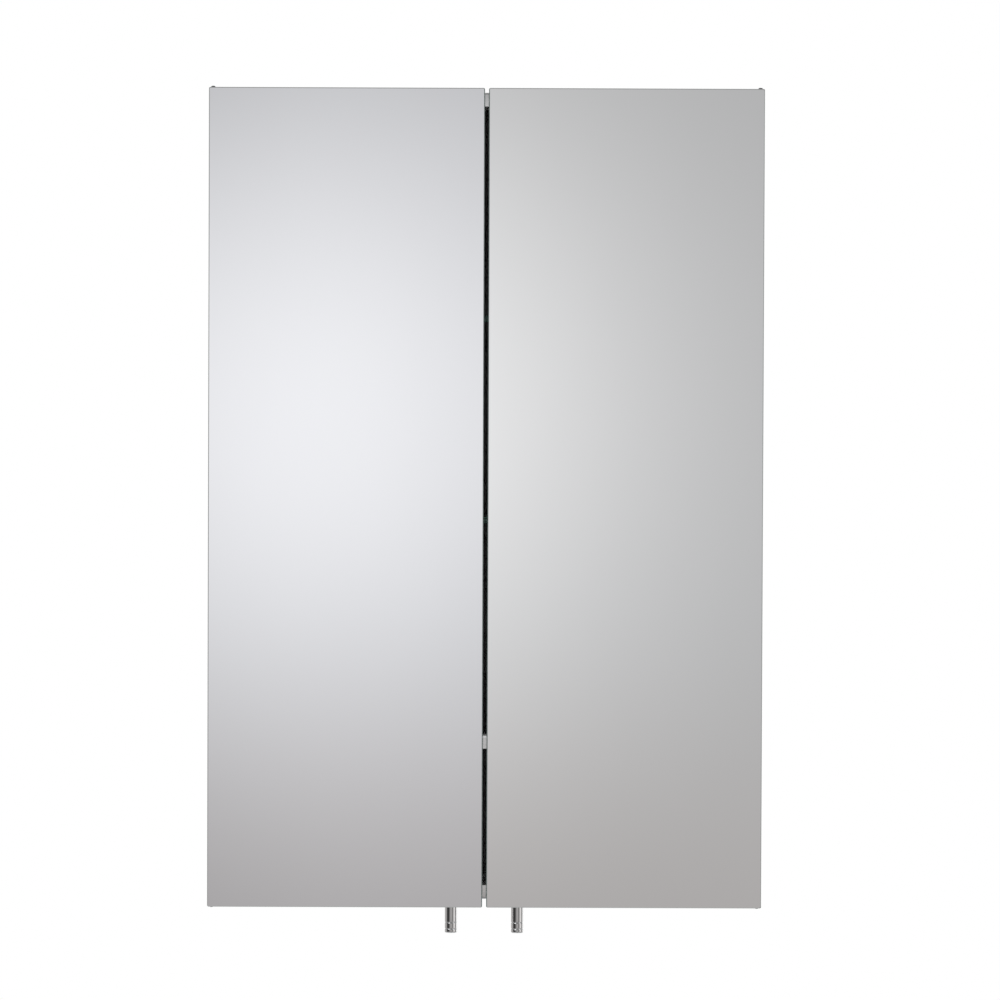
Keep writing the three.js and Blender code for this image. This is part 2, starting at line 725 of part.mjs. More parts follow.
// The bottom end's hardware is the top end's, turned over, with a longer reach to the door.
const ENDS = [
  { end: "top", flip: 1, panEdge: DOOR_TOP - PAN_INSET },
  { end: "bottom", flip: -1, panEdge: -DOOR_BOTTOM - PAN_INSET },
];

function hingeHardware(side, { end, flip, panEdge }) {
  const group = new THREE.Group();
  group.scale.z = flip;
  addPart(group, `hinge_plate_${end}_${side}`, hingePlate(), zincPlate());
  addPart(group, `hinge_pin_${end}_${side}`, hingePin(panEdge), zincPlate());
  addPart(group, `hinge_bush_${end}_${side}`, hingeBush(panEdge), nylon());
  RIVET_X.forEach((x, i) => {
    addPart(group, `hinge_rivet_${end}_${side}_${i + 1}`, hingeRivet(x), zincPlate());
  });
  return group;
}

function shelfHardware(side) {
  const group = new THREE.Group();
  const columns = { front: RAIL_FRONT_Y, rear: RAIL_REAR_Y };
  const shelves = { lower: LOWER_GLASS_HOLE, upper: UPPER_GLASS_HOLE };
  for (const [column, y] of Object.entries(columns)) {
    addPart(group, `shelf_rail_${side}_${column}`, shelfRail(y), steel());
    for (const [shelf, hole] of Object.entries(shelves)) {
      const name = `shelf_peg_${shelf}_${side}_${column}`;
      addPart(group, name, shelfPeg(y, railHoleZ(hole)), nylon());
    }
  }
  return group;
}

function door(side) {
  const group = new THREE.Group();
  addPart(group, `mirror_${side}`, mirror(), mirrorSilver());
  addPart(group, `mirror_tape_${side}`, mirrorTape(), foam());
  addPart(group, `door_pan_${side}`, doorPan(), steel());
  addPart(group, `door_liner_${side}`, doorLiner(), steel());
  addPart(group, `pull_${side}`, pull(), chrome());
  addPart(group, `pull_screw_${side}`, pullScrew(), zincPlate());
  addPart(group, `buffer_top_${side}`, buffer(BODY_TOP - FLANGE / 2), softClear());
  addPart(group, `buffer_bottom_${side}`, buffer(FLANGE / 2 - BODY_TOP), softClear());
  return group;
}

function halfCabinet(side) {
  const group = new THREE.Group();
  addPart(group, `side_panel_${side}`, sidePanel(), steel());
  addPart(group, `magnet_${side}`, magnet(), ferrite());
  group.add(shelfHardware(side), door(side));
  for (const end of ENDS) {
    group.add(hingeHardware(side, end));
  }
  return group;
}

function cabinet() {
  const group = new THREE.Group();
  addPart(group, "top_panel", endPanel(), steel());
  const bottom = new THREE.Group();
  bottom.scale.z = -1;
  addPart(bottom, "bottom_panel", endPanel(), steel());
  addPart(group, "back_panel", backPanel(), steel());
  addPart(group, "fixed_shelf", fixedShelf(), steel());
  addPart(group, "glass_shelf_lower", glassShelf(LOWER_GLASS_HOLE), clearGlass());
  addPart(group, "glass_shelf_upper", glassShelf(UPPER_GLASS_HOLE), clearGlass());
  addPart(group, "catch_housing", catchHousing(), greyPlastic());
  addPart(group, "catch_screw", catchScrew(), zincPlate());
  const left = halfCabinet("left");
  left.scale.x = -1;
  group.add(bottom, halfCabinet("right"), left);
  return group;
}

export default cabinet();
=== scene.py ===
"""Looks of the two-door mirrored medicine cabinet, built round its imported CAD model.
Metres. The doors face -Y. Lengths written in millimetres are multiplied by MM."""

import json
import math

import bmesh
import bpy
from mathutils import Matrix, Vector

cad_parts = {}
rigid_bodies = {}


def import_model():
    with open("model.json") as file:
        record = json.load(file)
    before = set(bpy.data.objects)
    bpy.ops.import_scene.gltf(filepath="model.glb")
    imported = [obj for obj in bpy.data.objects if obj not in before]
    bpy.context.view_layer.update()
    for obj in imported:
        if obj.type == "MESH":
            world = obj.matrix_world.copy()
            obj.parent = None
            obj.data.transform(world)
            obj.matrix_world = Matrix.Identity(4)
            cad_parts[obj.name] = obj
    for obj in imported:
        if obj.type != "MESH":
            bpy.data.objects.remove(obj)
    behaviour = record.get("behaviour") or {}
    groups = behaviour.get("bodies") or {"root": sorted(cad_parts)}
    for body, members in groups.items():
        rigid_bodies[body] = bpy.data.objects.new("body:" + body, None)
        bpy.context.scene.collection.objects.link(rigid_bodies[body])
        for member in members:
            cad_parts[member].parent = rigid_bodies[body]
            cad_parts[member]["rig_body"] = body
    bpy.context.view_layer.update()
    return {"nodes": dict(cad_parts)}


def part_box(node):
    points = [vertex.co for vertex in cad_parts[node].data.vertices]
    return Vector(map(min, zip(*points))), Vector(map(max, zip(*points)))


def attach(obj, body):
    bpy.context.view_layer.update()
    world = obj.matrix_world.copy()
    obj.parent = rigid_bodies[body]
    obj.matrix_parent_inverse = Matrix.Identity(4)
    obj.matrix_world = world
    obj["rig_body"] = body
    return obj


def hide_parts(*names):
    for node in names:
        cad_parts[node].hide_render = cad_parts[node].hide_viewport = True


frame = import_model()

MM = 0.001
X, Y, Z = range(3)

# The words that the CAD nodes' names are made of.
SIDES = ("left", "right")
ENDS = ("top", "bottom")
COLUMNS = ("front", "rear")
LEVELS = ("lower", "upper")

# How far sharp edges are eased: deburred sheet, soft tape and small screws, moulded plastic.
EDGE_EASE = 0.12 * MM
FINE_EASE = 0.05 * MM
MOULDED_EASE = 0.35 * MM
EDGE_STEPS = 2
SHARP_ANGLE = math.radians(50)
SMOOTH_ANGLE = math.radians(40)
WELD_DISTANCE = 0.002 * MM
FLAT_ANGLE = math.radians(0.6)

# Facets round turned pieces and along their small arcs. An arc takes up no more than
# FILLET_SHARE of the line on either side of it.
PULL_STEPS = 64
HEAD_STEPS = 48
SMALL_STEPS = 40
DOME_STEPS = 8
FILLET_STEPS = 4
FILLET_SHARE = 0.45

# Mirrors: a narrow bevel round the front, and a smaller one round the painted back.
MIRROR_CORNER = 1.2 * MM
MIRROR_ARRIS = 0.7 * MM
PAINT_ARRIS = 0.25 * MM
CORNER_STEPS = 10
# The least share of a corner's radius that an inset outline keeps.
LEAST_CORNER = 0.3

# Glass shelves
SHELF_CORNER = 4 * MM
SHELF_ARRIS = 0.6 * MM

# Pulls: the grooves' heights are those of their middles above the lower end.
PULL_GROOVES = (3.1 * MM, 8.1 * MM)
GROOVE_WIDTH = 1.0 * MM
GROOVE_DEPTH = 0.35 * MM
GROOVE_SLOPE = 0.2 * MM
PULL_EASE = 0.6 * MM
PULL_TOP_EASE = 0.3 * MM
PULL_BORE = 1.6 * MM
PULL_BORE_DEPTH = 9 * MM
PULL_FILLET = 0.35 * MM

# Both ends of the small turned pieces, in millimetres: (radius, distance in from that end).
PIN_TAIL = ((0, 0), (1.5, 0), (2, 0.35), (2, 0.8), (1.25, 0.8))
PIN_HEAD = ((1.25, 1.5), (1.9, 1.5), (1.9, 0.9), (1.3, 0.2), (0.7, 0), (0, 0))
PIN_FILLET = 0.3 * MM
RIVET_TAIL = ((0, 0), (1.6, 0), (2.2, 0.6), (2.1, 1.4), (1.5, 1.4))
RIVET_HEAD = (
    (1.5, 1.2), (3, 1.2), (2.95, 0.9), (2.3, 0.35), (1.4, 0), (0.95, 0), (0.8, 0.45), (0, 0.4),
)
RIVET_FILLET = 0.2 * MM
BUSH_INNER = ((1.33, 0), (1.85, 0))
BUSH_OUTER = ((1.85, 0.9), (1.7, 0.9), (1.7, 0), (1.33, 0))
PEG_NOSE = (
    (0, 0), (1.7, 0), (2.4, 0.8), (2.4, 6), (3.9, 6.1), (4, 7.2), (3.9, 7.5), (2.4, 7.5),
)
PEG_TAIL = ((2.4, 1), (1.7, 0), (0, 0))
PEG_FILLET = 0.3 * MM
SCREW_POINT = ((0, 0), (0.7, 0), (1.5, 1.2))
SCREW_HEAD = ((1.5, 1.6), (3, 1.6), (3, 1.2))

# The catch screw's domed crown, and its cross recess, which tapers to its foot.
CROWN_RADIUS = 2.9 * MM
CROWN_HEIGHT = 1.1 * MM
CROSS_REACH = 1.5 * MM
CROSS_WIDTH = 0.55 * MM
CROSS_DEPTH = 0.9 * MM
CROSS_TAPER = 0.45

# Door buffers: a foot, and a dome that starts a little in from it.
BUFFER_FOOT = 0.35 * MM
BUFFER_STEP = 0.12 * MM
BUFFER_DOME = 0.93

# Magnets: the pole plates' thickness, and how far the ferrite is sunk between them.
POLE_SHEET = 1.1 * MM
FERRITE_SUNK = 0.25 * MM
MAGNET_CORNER = 0.25 * MM
MAGNET_CORNER_STEPS = 3
MAGNET_EASE = 0.1 * MM

# Spot welds round the back panel: shallow lenses a margin in from its edges
SPOT_RADIUS = 2.6 * MM
SPOT_DEPTH = 0.25 * MM
SPOT_STEPS = 5
SPOT_TURN_STEPS = 20
SPOT_CLEAR = 0.5 * MM
SPOT_MARGIN = 4.5 * MM
SPOTS_DOWN = 15
SPOTS_ACROSS = 9
SPOT_RIM_ANGLE = math.radians(6)

# Camera: its lens and distance, its angles, and its aim point relative to the middle of the
# mirrors' front.
LENS = 227.8
SENSOR = 36
CAMERA_DISTANCE = 5.0
CAMERA_AZIMUTH = math.radians(-0.23)
CAMERA_ELEVATION = math.radians(1.70)
CAMERA_ROLL = math.radians(0.215)
AIM_RIGHT = 11.4 * MM
AIM_DOWN = 1.1 * MM

# Studio
FLOOR_Z = -1.6
FLOOR_RADIUS = 9
FLOOR_STEPS = 96
FLOOR_FADE = (2.2, 7.5)
# Softboxes, all aimed at the origin: (name, place, size, power)
SOFTBOXES = (
    ("key", (-2.6, -2.8, 2.8), 2.4, 45),
    ("fill", (3.4, -1.6, 0.6), 1.8, 11),
    ("top_rear", (0.4, 2.6, 3.2), 3.0, 40),
    ("low_rear", (2.5, 2.7, -0.4), 1.6, 10),
)


# ---- Meshes ----

def finished(bm, name, materials, smooth_angle=SMOOTH_ANGLE):
    """A new object at the origin from a closed bmesh, smooth where its faces meet at a low angle."""
    bmesh.ops.recalc_face_normals(bm, faces=bm.faces)
    for face in bm.faces:
        face.smooth = True
    for edge in bm.edges:
        if edge.is_manifold and edge.calc_face_angle(0) > smooth_angle:
            edge.smooth = False
    mesh = bpy.data.meshes.new(name)
    bm.to_mesh(mesh)
    bm.free()
    for material in materials:
        mesh.materials.append(material)
    made = bpy.data.objects.new(name, mesh)
    bpy.context.scene.collection.objects.link(made)
    weighted = made.modifiers.new("weighted", "WEIGHTED_NORMAL")
    weighted.keep_sharp = True
    return made


def body_of_node(node):
    """The body that a CAD node moves with."""
    return frame["nodes"][node]["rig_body"]


def stands_for(piece, node):
    """The piece takes a CAD node's place and rides on its body."""
    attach(piece, body_of_node(node))
    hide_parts(node)
    return piece


def welded(node):
    """A bmesh of a CAD node with its vertices merged and its flat faces joined up."""
    bm = bmesh.new()
    bm.from_mesh(frame["nodes"][node].data)
    bmesh.ops.remove_doubles(bm, verts=bm.verts, dist=WELD_DISTANCE)
    bmesh.ops.dissolve_limit(
        bm, angle_limit=FLAT_ANGLE, verts=bm.verts, edges=bm.edges, delimit={"NORMAL"}
    )
    return bm


def ease_edges(bm, width=EDGE_EASE):
    """Bevels every sharp edge by a small width."""
    sharp = [e for e in bm.edges if e.is_manifold and e.calc_face_angle(0) > SHARP_ANGLE]
    bmesh.ops.bevel(
        bm, geom=sharp, offset=width, offset_type="OFFSET", segments=EDGE_STEPS,
        profile=0.5, affect="EDGES", clamp_overlap=True,
    )


def sheet_piece(node, material, width=EDGE_EASE):
    """A sheet part in its CAD shape, with every sharp edge slightly eased."""
    bm = welded(node)
    ease_edges(bm, width)
    return stands_for(finished(bm, node + "_fine", [material]), node)


def ring_between(bm, lower, upper, index):
    """Joins two rings of vertices with a band of quads of one material."""
    count = len(lower)
    for i in range(count):
        after = (i + 1) % count
        face = bm.faces.new((lower[i], lower[after], upper[after], upper[i]))
        face.material_index = index


def stacked(bm, outlines, bands, ends):
    """Closes a stack of outlines with the same number of points: `bands` gives the material of
    each band between two outlines and `ends` that of the first and last flat faces."""
    rings = [[bm.verts.new(point) for point in outline] for outline in outlines]
    for i, index in enumerate(bands):
        ring_between(bm, rings[i], rings[i + 1], index)
    for ring, index in ((rings[0], ends[0]), (rings[-1], ends[1])):
        bm.faces.new(ring).material_index = index


def rounded_outline(low, high, corner, steps):
    """Points round a rectangle with round corners, as (u, v) pairs."""
    points = []
    centres = (
        (high[0] - corner, low[1] + corner, -90),
        (high[0] - corner, high[1] - corner, 0),
        (low[0] + corner, high[1] - corner, 90),
        (low[0] + corner, low[1] + corner, 180),
    )
    for u, v, start in centres:
        for step in range(steps + 1):
            angle = math.radians(start + 90 * step / steps)
            points.append((u + corner * math.cos(angle), v + corner * math.sin(angle)))
    return points


def slab_levels(low, high, corner, levels, axis, steps=CORNER_STEPS):
    """Outlines of a slab that lies across `axis`: each level is (place on the axis, inset)."""
    others = [i for i in (X, Y, Z) if i != axis]
    outlines = []
    for place, inset in levels:
        flat = rounded_outline(
            [low[i] + inset for i in others], [high[i] - inset for i in others],
            max(corner - inset, corner * LEAST_CORNER), steps,
        )
        outline = []
        for u, v in flat:
            point = [0.0, 0.0, 0.0]
            point[others[0]], point[others[1]], point[axis] = u, v, place
            outline.append(point)
        outlines.append(outline)
    return outlines


def fillet(profile, radius):
    """The (radius, height) profile with each inside point replaced by a small arc."""
    points = [Vector(p) for p in profile]
    made = [points[0]]
    for before, at, after in zip(points, points[1:], points[2:]):
        back, on = before - at, after - at
        reach = min(radius, back.length * FILLET_SHARE, on.length * FILLET_SHARE)
        start, end = at + back.normalized() * reach, at + on.normalized() * reach
        for step in range(FILLET_STEPS + 1):
            t = step / FILLET_STEPS
            made.append(start.lerp(at, t).lerp(at.lerp(end, t), t))
    made.append(points[-1])
    return made


def between_ends(start, end, from_start, from_end):
    """A profile of (radius, place) from the points that are measured in from each end."""
    inward = 1 if end > start else -1
    points = [(radius * MM, start + inward * reach * MM) for radius, reach in from_start]
    return points + [(radius * MM, end - inward * reach * MM) for radius, reach in from_end]


def turned(bm, profile, centre, axis=Z, steps=SMALL_STEPS):
    """Turns a profile of (radius, place on the axis) about an axis through `centre`.
    The profile starts and ends on the axis, or closes on itself."""
    u, v = [i for i in (X, Y, Z) if i != axis]
    rings = []
    for radius, place in profile:
        count = steps if radius > 0 else 1
        ring = []
        for i in range(count):
            angle = 2 * math.pi * i / count
            point = [0.0, 0.0, 0.0]
            point[u] = centre[u] + radius * math.cos(angle)
            point[v] = centre[v] + radius * math.sin(angle)
            point[axis] = place
            ring.append(bm.verts.new(point))
        rings.append(ring)
    for lower, upper in zip(rings, rings[1:]):
        for i in range(max(len(lower), len(upper))):
            a, b = lower[i % len(lower)], lower[(i + 1) % len(lower)]
            c, d = upper[(i + 1) % len(upper)], upper[i % len(upper)]
            corners = list(dict.fromkeys((a, b, c, d)))
            if len(corners) > 2:
                bm.faces.new(corners)


def dome(radius, seat, height):
    """Profile points of a domed head, from its rim at `seat` to the middle of its top."""
    points = []
    for step in range(DOME_STEPS):
        angle = math.pi / 2 * step / DOME_STEPS
        points.append((radius * math.cos(angle), seat + height * math.sin(angle)))
    points.append((0, seat + height))
    return points


def plain_object(bm, name):
    """A scene object from a closed bmesh, for a boolean cut."""
    mesh = bpy.data.meshes.new(name)
    bmesh.ops.recalc_face_normals(bm, faces=bm.faces)
    bm.to_mesh(mesh)
    bm.free()
    made = bpy.data.objects.new(name, mesh)
    bpy.context.scene.collection.objects.link(made)
    return made


def cut_away(bm, cutter_bm):
    """The first closed bmesh less the second, as a new bmesh."""
    base = plain_object(bm, "cut_base")
    cutter = plain_object(cutter_bm, "cutter")
    boolean = base.modifiers.new("cut", "BOOLEAN")
    boolean.operation = "DIFFERENCE"
    boolean.solver = "EXACT"
    boolean.object = cutter
    bpy.context.view_layer.update()
    evaluated = base.evaluated_get(bpy.context.evaluated_depsgraph_get())
    made = bmesh.new()
    made.from_mesh(evaluated.to_mesh())
    evaluated.to_mesh_clear()
    bmesh.ops.remove_doubles(made, verts=made.verts, dist=WELD_DISTANCE)
    for used in (base, cutter):
        bpy.data.objects.remove(used)
    return made


def middle(low, high):
    """The point midway between two corners."""
    return (low + high) / 2


# ---- Materials ----

# Noise scales are in waves per metre.

def new_material(name):
    """A new material, its node tree and its shader."""
    material = bpy.data.materials.new(name)
    material.use_nodes = True
    tree = material.node_tree
    return material, tree, tree.nodes["Principled BSDF"]


def set_inputs(tree, node, inputs):
    """Gives each listed input of a node a plain value, or links the socket that feeds it."""
    for key, value in inputs.items():
        if isinstance(value, bpy.types.NodeSocket):
            tree.links.new(value, node.inputs[key])
        else:
            node.inputs[key].default_value = value


def add_node(tree, kind, inputs=None, **settings):
    """A new shader node with its settings and inputs."""
    made = tree.nodes.new(kind)
    for key, value in settings.items():
        setattr(made, key, value)
    set_inputs(tree, made, inputs or {})
    return made


def object_place(tree, scale=(1, 1, 1)):
    """Object coordinates, stretched by a scale on each axis."""
    place = add_node(tree, "ShaderNodeTexCoord").outputs["Object"]
    return add_node(tree, "ShaderNodeMapping", {"Vector": place, "Scale": scale}).outputs[0]


def cloud(tree, place, scale, detail=3, roughness=0.5):
    """Soft noise, mostly between 0.3 and 0.7."""
    return add_node(tree, "ShaderNodeTexNoise", {
        "Vector": place, "Scale": scale, "Detail": detail, "Roughness": roughness,
    }).outputs["Fac"]


def spread(tree, value, low, high, start=0.3, end=0.7):
    """Maps a noise value from start..end to low..high."""
    return add_node(tree, "ShaderNodeMapRange", {
        "Value": value, "From Min": start, "From Max": end, "To Min": low, "To Max": high,
    }).outputs[0]


def blend_colours(tree, factor, first, second):
    """Mixes two colours, each a socket or three numbers."""
    inputs = {0: factor}
    for index, colour in ((6, first), (7, second)):
        inputs[index] = (*colour, 1) if isinstance(colour, tuple) else colour
    return add_node(tree, "ShaderNodeMix", inputs, data_type="RGBA").outputs[2]


def bump(tree, height, distance):
    """A normal that follows a height, with `distance` as its full relief."""
    return add_node(tree, "ShaderNodeBump", {"Height": height, "Distance": distance}).outputs[0]


def math_node(tree, operation, *values):
    """One sum on numbers or sockets."""
    return add_node(
        tree, "ShaderNodeMath", dict(enumerate(values)), operation=operation
    ).outputs[0]


def scaled(colour, factor):
    """A colour made lighter or darker."""
    return tuple(min(1.0, c * factor) for c in colour)


GRAIN_ACROSS = 1900
GRAIN_ALONG = 8
STREAK_WIDTH = 4
# Stainless finishes: the axis that the grain runs along, tone and roughness.
STEEL_FINISHES = {
    "upright": (Z, (0.66, 0.664, 0.67), 0.17),
    # The top, bottom and fixed shelf take a lighter tone than the other steel: painted light, so that
    # their flanges read bright in the narrow gap between the doors.
    "across": (X, (0.86, 0.864, 0.87), 0.11),
    # The back panel takes a darker tone than the other steel: painted shade, so that the inside seen
    # through the gap between the doors stays dark.
    "plain": (Z, (0.48, 0.485, 0.49), 0.42),
    "pan": (Z, (0.66, 0.664, 0.67), 0.17),
    "liner": (Z, (0.63, 0.635, 0.64), 0.24),
}


def brushed_steel(finish):
    """Stainless sheet with a fine brushed grain along one axis and faint handling marks."""
    axis, tone, roughness = STEEL_FINISHES[finish]
    material, tree, shader = new_material("steel_" + finish)
    stretch = [GRAIN_ACROSS] * 3
    stretch[axis] = GRAIN_ALONG
    lines = cloud(tree, object_place(tree, stretch), 1, detail=4, roughness=0.65)
    coarse_stretch = [value / STREAK_WIDTH for value in stretch]
    streaks = cloud(tree, object_place(tree, coarse_stretch), 1, detail=3, roughness=0.6)
    marks = cloud(tree, object_place(tree), 9, detail=4, roughness=0.55)
    both = math_node(tree, "ADD", lines, streaks)
    colour = blend_colours(
        tree, spread(tree, both, 0, 1, 0.7, 1.3), scaled(tone, 0.94), scaled(tone, 1.05)
    )
    rough_lines = spread(tree, lines, roughness - 0.04, roughness + 0.07)
    rough_marks = spread(tree, marks, -0.012, 0.024, 0.35, 0.65)
    set_inputs(tree, shader, {
        "Base Color": colour,
        "Metallic": 1.0,
        "Roughness": math_node(tree, "ADD", rough_lines, rough_marks),
        "Normal": bump(tree, lines, 0.006 * MM),
    })
    return material


def zinc_plate():
    """Bright zinc plating: slightly blue, mottled, with soft peened relief."""
    material, tree, shader = new_material("zinc_plate")
    place = object_place(tree)
    mottle = cloud(tree, place, 420, detail=4, roughness=0.6)
    colour = blend_colours(tree, spread(tree, mottle, 0, 1), (0.5, 0.52, 0.56), (0.66, 0.67, 0.68))
    set_inputs(tree, shader, {
        "Base Color": colour,
        "Metallic": 1.0,
        "Roughness": spread(tree, mottle, 0.28, 0.44),
        "Normal": bump(tree, cloud(tree, place, 1600, detail=2), 0.01 * MM),
    })
    return material


def dark_plate():
    """Blackened steel of the hinge pins, rubbed a little brighter in patches."""
    material, tree, shader = new_material("dark_plate")
    rub = cloud(tree, object_place(tree), 900, detail=4, roughness=0.6)
    set_inputs(tree, shader, {
        "Base Color": blend_colours(
            tree, spread(tree, rub, 0, 1), (0.07, 0.07, 0.075), (0.17, 0.17, 0.175)
        ),
        "Metallic": 1.0,
        "Roughness": spread(tree, rub, 0.3, 0.5),
        "Normal": bump(tree, rub, 0.008 * MM),
    })
    return material


def chrome():
    """Polished chrome with faint turning lines and hairline wear."""
    material, tree, shader = new_material("chrome")
    lines = cloud(tree, object_place(tree, (60, 60, 3500)), 1, detail=3, roughness=0.6)
    wear = cloud(tree, object_place(tree), 240, detail=5, roughness=0.7)
    colour = blend_colours(
        tree, spread(tree, wear, 0, 1, 0.4, 0.7), (0.86, 0.865, 0.87), (0.8, 0.805, 0.815)
    )
    set_inputs(tree, shader, {
        "Base Color": colour,
        "Metallic": 1.0,
        "Roughness": spread(tree, wear, 0.045, 0.11, 0.35, 0.75),
        "Normal": bump(tree, lines, 0.0012 * MM),
    })
    return material


# The silver of the left mirror is very slightly bluer than the right's: a painted tint of the
# reflection seen in the left door.
MIRROR_TONES = {"left": (0.89, 0.895, 0.926), "right": (0.918, 0.92, 0.929)}


def mirror_silver(side):
    """The silvered face behind clear glass, with very faint wiping marks."""
    tone = MIRROR_TONES[side]
    material, tree, shader = new_material("mirror_silver_" + side)
    wipes = cloud(tree, object_place(tree, (1.0, 1.0, 0.45)), 14, detail=5, roughness=0.6)
    colour = blend_colours(tree, spread(tree, wipes, 0, 1, 0.35, 0.65), scaled(tone, 0.994), tone)
    set_inputs(tree, shader, {
        "Base Color": colour,
        "Metallic": 1.0,
        "Roughness": spread(tree, wipes, 0.004, 0.016, 0.35, 0.65),
    })
    return material


def polished_arris():
    """The narrow bevel round a mirror's front: silver seen through polished glass."""
    material, tree, shader = new_material("mirror_arris")
    lines = cloud(tree, object_place(tree), 1400, detail=3, roughness=0.6)
    set_inputs(tree, shader, {
        "Base Color": blend_colours(
            tree, spread(tree, lines, 0, 1), (0.74, 0.755, 0.75), (0.8, 0.815, 0.81)
        ),
        "Metallic": 1.0,
        "Roughness": spread(tree, lines, 0.12, 0.22),
    })
    return material


# The dark and the light tone of each kind of plate's ground edge.
EDGE_TONES = {
    # The mirror's tones are darker than glass alone: partly painted shade of the narrow gap between
    # the doors, where its edges are seen.
    "mirror": ((0.092, 0.115, 0.109), (0.168, 0.198, 0.19)),
    "shelf": ((0.16, 0.36, 0.29), (0.26, 0.48, 0.4)),
}


def ground_edge(plate):
    """The ground edge of a glass plate: grey green, frosted, with fine grinding lines."""
    material, tree, shader = new_material(plate + "_edge")
    lines = cloud(tree, object_place(tree, (500, 900, 500)), 1, detail=4, roughness=0.7)
    set_inputs(tree, shader, {
        "Base Color": blend_colours(tree, spread(tree, lines, 0, 1), *EDGE_TONES[plate]),
        "Roughness": spread(tree, lines, 0.22, 0.42),
        "Specular IOR Level": 0.6,
        "Normal": bump(tree, lines, 0.01 * MM),
    })
    return material


def backing_paint():
    """Grey protective paint on the back of a mirror, rolled on."""
    material, tree, shader = new_material("backing_paint")
    peel = cloud(tree, object_place(tree, (1, 1, 0.4)), 700, detail=3)
    set_inputs(tree, shader, {
        "Base Color": blend_colours(
            tree, spread(tree, peel, 0, 1), (0.2, 0.21, 0.22), (0.25, 0.26, 0.27)
        ),
        "Roughness": spread(tree, peel, 0.5, 0.65),
        "Normal": bump(tree, peel, 0.02 * MM),
    })
    return material


def shelf_glass():
    """Clear float glass with a very slight green cast and faint finger haze."""
    material, tree, shader = new_material("shelf_glass")
    haze = cloud(tree, object_place(tree), 26, detail=5, roughness=0.65)
    set_inputs(tree, shader, {
        "Base Color": blend_colours(
            tree, spread(tree, haze, 0, 1), (0.93, 0.985, 0.96), (0.955, 0.99, 0.975)
        ),
        "Roughness": spread(tree, haze, 0.0, 0.05, 0.45, 0.75),
        "IOR": 1.52,
        "Transmission Weight": 1.0,
    })
    return material


# How much coarser a moulded part's changes of tone are than its grain.
TONE_SCALE = 12


def moulded(name, dark, light, roughness, grain, relief, extra=None):
    """A moulded part with a fine grained skin and a slow change of tone."""
    material, tree, shader = new_material(name)
    skin = cloud(tree, object_place(tree), grain, detail=3, roughness=0.6)
    tone = cloud(tree, object_place(tree), grain / TONE_SCALE)
    values = {
        "Base Color": blend_colours(tree, spread(tree, tone, 0, 1), dark, light),
        "Roughness": spread(tree, skin, roughness - 0.07, roughness + 0.1),
        "Normal": bump(tree, skin, relief),
    }
    values.update(extra or {})
    set_inputs(tree, shader, values)
    return material


def nylon():
    """White nylon of the pegs and bushes, slightly translucent."""
    return moulded(
        "nylon", (0.72, 0.7, 0.65), (0.8, 0.785, 0.74),
        roughness=0.45, grain=1800, relief=0.012 * MM,
        extra={"Subsurface Weight": 0.15, "Subsurface Scale": 0.6 * MM},
    )


def catch_plastic():
    """Grey plastic of the catch's housing."""
    return moulded(
        "catch_plastic", (0.47, 0.475, 0.475), (0.53, 0.535, 0.53),
        roughness=0.42, grain=2600, relief=0.02 * MM,
    )


def soft_clear():
    """Soft clear plastic of the door buffers."""
    return moulded(
        "soft_clear", (0.78, 0.81, 0.82), (0.86, 0.88, 0.885),
        roughness=0.24, grain=1500, relief=0.01 * MM,
        extra={"Transmission Weight": 0.55, "IOR": 1.49},
    )


def ferrite():
    """Black ferrite, sintered and slightly rough."""
    return moulded(
        "ferrite", (0.035, 0.035, 0.038), (0.075, 0.075, 0.08),
        roughness=0.55, grain=3200, relief=0.03 * MM,
    )


def foam():
    """Closed-cell bonding tape: dark, matt and pitted."""
    material, tree, shader = new_material("foam")
    pores = add_node(tree, "ShaderNodeTexVoronoi", {
        "Vector": object_place(tree), "Scale": 2200,
    }).outputs["Distance"]
    set_inputs(tree, shader, {
        "Base Color": blend_colours(
            tree, spread(tree, pores, 0, 1, 0.1, 0.6), (0.012, 0.012, 0.013), (0.04, 0.04, 0.042)
        ),
        "Roughness": spread(tree, pores, 0.8, 0.95, 0.1, 0.6),
        "Normal": bump(tree, pores, 0.06 * MM),
    })
    return material


def floor_paint():
    """Pale matt paint that fades out over the distances of FLOOR_FADE from the middle."""
    material, tree, shader = new_material("floor_paint")
    place = object_place(tree)
    drift = cloud(tree, place, 1.5, detail=3)
    reach = add_node(tree, "ShaderNodeVectorMath", {0: place}, operation="LENGTH").outputs["Value"]
    set_inputs(tree, shader, {
        "Base Color": blend_colours(
            tree, spread(tree, drift, 0, 1), (0.88, 0.88, 0.88), (0.9, 0.9, 0.9)
        ),
        "Roughness": 0.9,
        "Alpha": add_node(tree, "ShaderNodeMapRange", {
            "Value": reach, "From Min": FLOOR_FADE[0], "From Max": FLOOR_FADE[1],
            "To Min": 1.0, "To Max": 0.0,
        }, interpolation_type="SMOOTHSTEP").outputs[0],
    })
    return material


# ---- Sub-parts ----

# The faces of a mirror plate, in the order of its materials.
SILVER, ARRIS, GROUND, PAINT = range(4)


